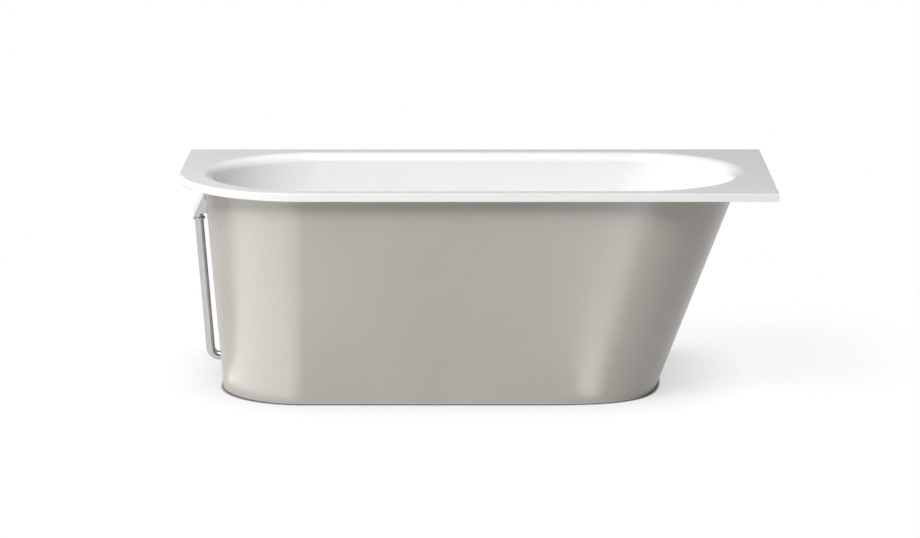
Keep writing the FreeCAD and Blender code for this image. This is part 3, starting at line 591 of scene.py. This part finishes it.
wear(moulded_white, nodes["trap_cup"], nodes["trap_lid"], nodes["outlet_pipe"])
wear(seal_rubber, nodes["trap_lid_seal"], nodes["trap_inlet_seal"])
low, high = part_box("trap_nut")
shape = cap_nut((high.x - low.x) / 2, TRAP_NUT_WALL, TRAP_NUT_BORE, high.z - low.z)
trap_nut = new_piece("ribbed_trap_nut", moved(shape, (middle("trap_nut").x, middle("trap_nut").y, low.z)))
stands_for(trap_nut, "trap_nut", "tub", moulded_white)
low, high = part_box("outlet_nut")
shape = cap_nut((high.x - low.x) / 2, PORT_NUT_WALL, OUTLET_NUT_BORE, high.y - low.y)
to_wall = Matrix.Translation((middle("outlet_nut").x, low.y, middle("outlet_nut").z))
outlet_nut = new_piece("ribbed_outlet_nut", moved(shape, to_wall @ Matrix.Rotation(-math.pi / 2, 4, "X")))
stands_for(outlet_nut, "outlet_nut", "tub", moulded_white)

# Overflow inside the basin: chromed perforated cover on a brass sleeve through the end wall.
# A seal and a brass nut behind the wall clamp it.
wear(chrome, nodes["overflow_cover"])
wear(seal_rubber, nodes["overflow_seal"])
wear(turned_brass, nodes["overflow_sleeve"], nodes["overflow_nut"])

# Skirt: one sheet bent round the left end, the front and the right end, sprayed warm grey outside.
# Its inside is bare laminate. It stands on a seal under the rim, on clips, and on stays from the rails.
GREY_DEEP = (0.412, 0.385, 0.351)
GREY_PALE = (0.433, 0.404, 0.370)
SATIN_ROUGHNESS = (0.27, 0.33)
SPRAY_HEIGHT = 0.05
INSIDE_SKIRT = (0.0, 0.1, 0.3)
NATURAL_DEEP = (0.66, 0.655, 0.60)
NATURAL_PALE = (0.75, 0.745, 0.70)
CLIPS = 4
CLIP_PITCH = 0.240

skirt_paint, tree, place = new_finish("skirt_paint")
outside = turned_away(tree, place, INSIDE_SKIRT)
mat_colour, mat_height = glass_mat(tree, place)
mist = cloud(tree, place, 2.5, 4.0)
spray = cloud(tree, place, 750.0, 2.0)
paint = tint(tree, spread(tree, mist, 0.0, 1.0), GREY_DEEP, GREY_PALE)
satin = spread(tree, sum_up(tree, "ADD", mist, spray), *SATIN_ROUGHNESS, 0.7, 1.3)
mat_roughness = spread(tree, mat_height, *MAT_ROUGHNESS)
spray_height = spread(tree, spray, 0.0, SPRAY_HEIGHT)
feed(tree, {
    "Base Color": tint(tree, outside, mat_colour, paint),
    "Roughness": between(tree, outside, mat_roughness, satin),
    "Normal": relief(tree, between(tree, outside, mat_height, spray_height), MAT_DEPTH, MAT_STRENGTH),
})
wear(skirt_paint, nodes["skirt_panel"])
wear(seal_rubber, nodes["skirt_seal"])

natural_plastic, tree, place = new_finish("natural_plastic")
flow = cloud(tree, place, 60.0, 4.0)
feed(tree, {
    "Base Color": tint(tree, spread(tree, flow, 0.0, 1.0), NATURAL_DEEP, NATURAL_PALE),
    "Roughness": spread(tree, flow, 0.4, 0.55),
    "Normal": relief(tree, cloud(tree, place, 1100.0, 2.0), 0.0002, 0.3),
})
wear(natural_plastic, nodes["rim_clips"])
clip_row = middle("clip_screws")
clip_spots = [(clip_row.x + (clip - (CLIPS - 1) / 2) * CLIP_PITCH, clip_row.y) for clip in range(CLIPS)]
pan_screws("clip_pan_screws", "clip_screws", clip_spots)
wear(zinc_plate, nodes["skirt_stay_left"], nodes["skirt_stay_right"])
stay_row = middle("stay_screws").y
pan_screws("stay_pan_screws", "stay_screws", [(middle(rail).x, stay_row) for rail in rails])

# Overflow outside the skirt: chromed rosette, hood, collar and bent pipe, fixed on the sleeve's outer end.
# The pipe goes back in through a rubber grommet, and a moulded link takes it to the trap.
LINK_NUT_BORE = 0.0133

wear(chrome, *[nodes["overflow_" + part] for part in ("rosette", "hood", "collar", "pipe")])
wear(seal_rubber, nodes["pipe_grommet"])
wear(moulded_white, nodes["link_coupling"], nodes["link_pipe"])
low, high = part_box("link_nut")
shape = cap_nut((high.y - low.y) / 2, PORT_NUT_WALL, LINK_NUT_BORE, high.x - low.x)
to_left = Matrix.Translation((high.x, middle("link_nut").y, middle("link_nut").z))
link_nut = new_piece("ribbed_link_nut", moved(shape, to_left @ Matrix.Rotation(-math.pi / 2, 4, "Y")))
stands_for(link_nut, "link_nut", "tub", moulded_white)

# Camera: a long lens ten metres in front of the bath and well above its rim, looking down on it.
# The small shift sets the bath a little right of the picture's middle.
CAMERA_PLACE = (0.03624, -9.9499, 2.3477)
CAMERA_TILT = 78.484
SENSOR_WIDTH = 36.0
LENS_LENGTH = 136.80
LENS_SHIFT = -0.0297

camera = bpy.data.objects.new("camera", bpy.data.cameras.new("camera"))
bpy.context.scene.collection.objects.link(camera)
camera.location = CAMERA_PLACE
camera.rotation_euler = (math.radians(CAMERA_TILT), 0.0, 0.0)
camera.data.sensor_width = SENSOR_WIDTH
camera.data.lens = LENS_LENGTH
camera.data.shift_x = LENS_SHIFT
bpy.context.scene.camera = camera

# Floor: pale and plain. It throws light up at the bath.
# Near the bath it shows a weak cast shadow of the bath from the lamps, under a painted shadow where its
# glow is dimmed by nearness to the bath. Further off it is plain white.
# From underneath it is clear, so the underside of the bath can be seen.
FLOOR_GREY = (0.75, 0.75, 0.75)
FLOOR_SHADE = (0.12, 0.12, 0.12)
FLOOR_GLOW = 0.9
FLOOR_WHITE = 1.0
# Painted shadow, the floor's glow dimmed by nearness to the bath: how far it reaches, and how deep it gets
SOFT_PAINTED_SHADOW = (0.25, 0.35)
CONTACT_PAINTED_SHADOW = (0.012, 4.0)
FLOOR_REACH = 400.0
SHADOW_NEAR = 1.3
SHADOW_FAR = 2.4


def seen(tree):
    """1 for what the camera sees, straight on or through a mirror or glass, and 0 for what gives light."""
    path = put(tree, "LightPath").outputs
    straight_or_mirrored = sum_up(tree, "MAXIMUM", path["Is Camera Ray"], path["Is Glossy Ray"])
    return sum_up(tree, "MAXIMUM", straight_or_mirrored, path["Is Transmission Ray"])


def mix_shaders(tree, share, first, second):
    return put(tree, "MixShader", {0: share, 1: first, 2: second}).outputs[0]


edge = FLOOR_REACH
corners = [(-edge, -edge, 0.0), (edge, -edge, 0.0), (edge, edge, 0.0), (-edge, edge, 0.0)]
floor_mesh = bpy.data.meshes.new("floor")
floor_mesh.from_pydata(corners, [], [(0, 1, 2, 3)])
floor = bpy.data.objects.new("floor", floor_mesh)
bpy.context.scene.collection.objects.link(floor)
floor_paint, tree, place = new_finish("floor_paint")
tree.nodes.remove(tree.nodes["Principled BSDF"])
distance = put(tree, "VectorMath", {0: place}, operation="LENGTH").outputs["Value"]
fade = {"Value": distance, "From Min": SHADOW_NEAR, "From Max": SHADOW_FAR}
far_off = put(tree, "MapRange", fade, interpolation_type="SMOOTHSTEP").outputs[0]
lighting = put(tree, "BsdfDiffuse", {"Color": FLOOR_GREY}).outputs[0]
level = FLOOR_GLOW
# Painted shadow: ambient occlusion dims the floor's glow where the bath is near
for shadow_reach, depth in (SOFT_PAINTED_SHADOW, CONTACT_PAINTED_SHADOW):
    openness_for_painted_shadow = put(tree, "AmbientOcclusion", {"Distance": shadow_reach}).outputs["AO"]
    level = sum_up(tree, "MULTIPLY", level, sum_up(tree, "POWER", openness_for_painted_shadow, depth))
glow = put(tree, "Emission", {"Strength": level}).outputs[0]
shaded = put(tree, "BsdfDiffuse", {"Color": FLOOR_SHADE}).outputs[0]
near_floor_with_painted_shadow = put(tree, "AddShader", {0: glow, 1: shaded}).outputs[0]
white_floor = put(tree, "Emission", {"Strength": FLOOR_WHITE}).outputs[0]
shown = mix_shaders(tree, far_off, near_floor_with_painted_shadow, white_floor)
from_above = mix_shaders(tree, seen(tree), lighting, shown)
underneath = put(tree, "NewGeometry").outputs["Backfacing"]
clear = put(tree, "BsdfTransparent").outputs[0]
surface = tree.nodes["Material Output"].inputs["Surface"]
set_socket(tree, surface, mix_shaders(tree, underneath, from_above, clear))
wear(floor_paint, floor)


# Lamps: square soft boxes far out round the bath, all aimed at its middle.
# Two stand high before its left half, the others low at its left, right and back.
LAMP_AIM = Vector((0.0, 0.0, 0.35))
LAMP_DISTANCE = 8.0
LAMP_SIDE = 3.6
# Turn from the front and height above the floor in degrees, then the power in watts
LAMPS = {
    "high_lamp": (-30, 55, 500),
    "high_left_lamp": (-60, 55, 240),
    "left_lamp": (-90, 12, 62),
    "right_lamp": (60, 30, 56),
    "back_lamp": (-140, 20, 100),
}

for name, (azimuth, elevation, watts) in LAMPS.items():
    turn = math.radians(azimuth)
    rise = math.radians(elevation)
    out = Vector((math.sin(turn) * math.cos(rise), -math.cos(turn) * math.cos(rise), math.sin(rise)))
    light = bpy.data.lights.new(name, "AREA")
    light.shape = "SQUARE"
    light.size = LAMP_SIDE
    light.energy = watts
    lamp = bpy.data.objects.new(name, light)
    lamp.location = LAMP_AIM + LAMP_DISTANCE * out
    lamp.rotation_euler = (-out).to_track_quat("-Z", "Y").to_euler()
    lamp.visible_camera = False
    bpy.context.scene.collection.objects.link(lamp)

# Cards: two glowing sheets on the floor before the skirt's bends, which make painted highlights.
# The camera does not see them and they give no diffuse light or shadow. Only the skirt's paint mirrors
# them, as the light bands along the bends.
CARD_STEPS = 16
CARD_HEIGHT = 0.003
CARD_REACH = (0.34, 4.5)
# Middle of the bend in plan, turns from the front between which the sheet lies, and its glow
PAINTED_HIGHLIGHT_CARDS = {
    "left_card": ((-0.47, -0.07), (-86.0, -8.0), 4.2),
    "right_card": ((0.27, -0.07), (7.0, 20.0), 5.0),
}


def arc(centre, radius, turns):
    """Points at the sheets' height round part of a circle, from one turn to the other."""
    points = []
    for step in range(CARD_STEPS + 1):
        turn = math.radians(turns[0] + (turns[1] - turns[0]) * step / CARD_STEPS)
        across = radius * math.sin(turn)
        forward = radius * math.cos(turn)
        points.append((centre[0] + across, centre[1] - forward, CARD_HEIGHT))
    return points


lit_skirt = bpy.data.collections.new("lit_skirt")
lit_skirt.objects.link(nodes["skirt_panel"])
for name, (centre, turns, level) in PAINTED_HIGHLIGHT_CARDS.items():
    near_edge, far_edge = (arc(centre, reach, turns) for reach in CARD_REACH)
    count = CARD_STEPS + 1
    faces = [(step, step + 1, count + step + 1, count + step) for step in range(CARD_STEPS)]
    card_mesh = bpy.data.meshes.new(name)
    card_mesh.from_pydata(near_edge + far_edge, [], faces)
    card = bpy.data.objects.new(name, card_mesh)
    bpy.context.scene.collection.objects.link(card)
    for kind in ("camera", "diffuse", "transmission", "volume_scatter", "shadow"):
        setattr(card, "visible_" + kind, False)
    card_paint, tree, place = new_finish(name)
    tree.nodes.remove(tree.nodes["Principled BSDF"])
    # Painted highlight: a glow that only the skirt's paint mirrors
    glow = put(tree, "Emission", {"Strength": level}).outputs[0]
    clear = put(tree, "BsdfTransparent").outputs[0]
    both = put(tree, "AddShader", {0: glow, 1: clear}).outputs[0]
    set_socket(tree, tree.nodes["Material Output"].inputs["Surface"], both)
    wear(card_paint, card)
    card.light_linking.receiver_collection = lit_skirt

# Room: dim even light from all round, which softens the shadows.
# What the bath's rim mirrors behind it is this room.
ROOM_LIGHT = 0.1

room = bpy.data.worlds.new("room")
bpy.context.scene.world = room
room.use_nodes = True
fill = room.node_tree.nodes["Background"].inputs
set_socket(room.node_tree, fill["Color"], (1.0, 1.0, 1.0))
set_socket(room.node_tree, fill["Strength"], ROOM_LIGHT)

# Last setting: plain colours in the picture.
bpy.context.scene.view_settings.view_transform = "Standard"
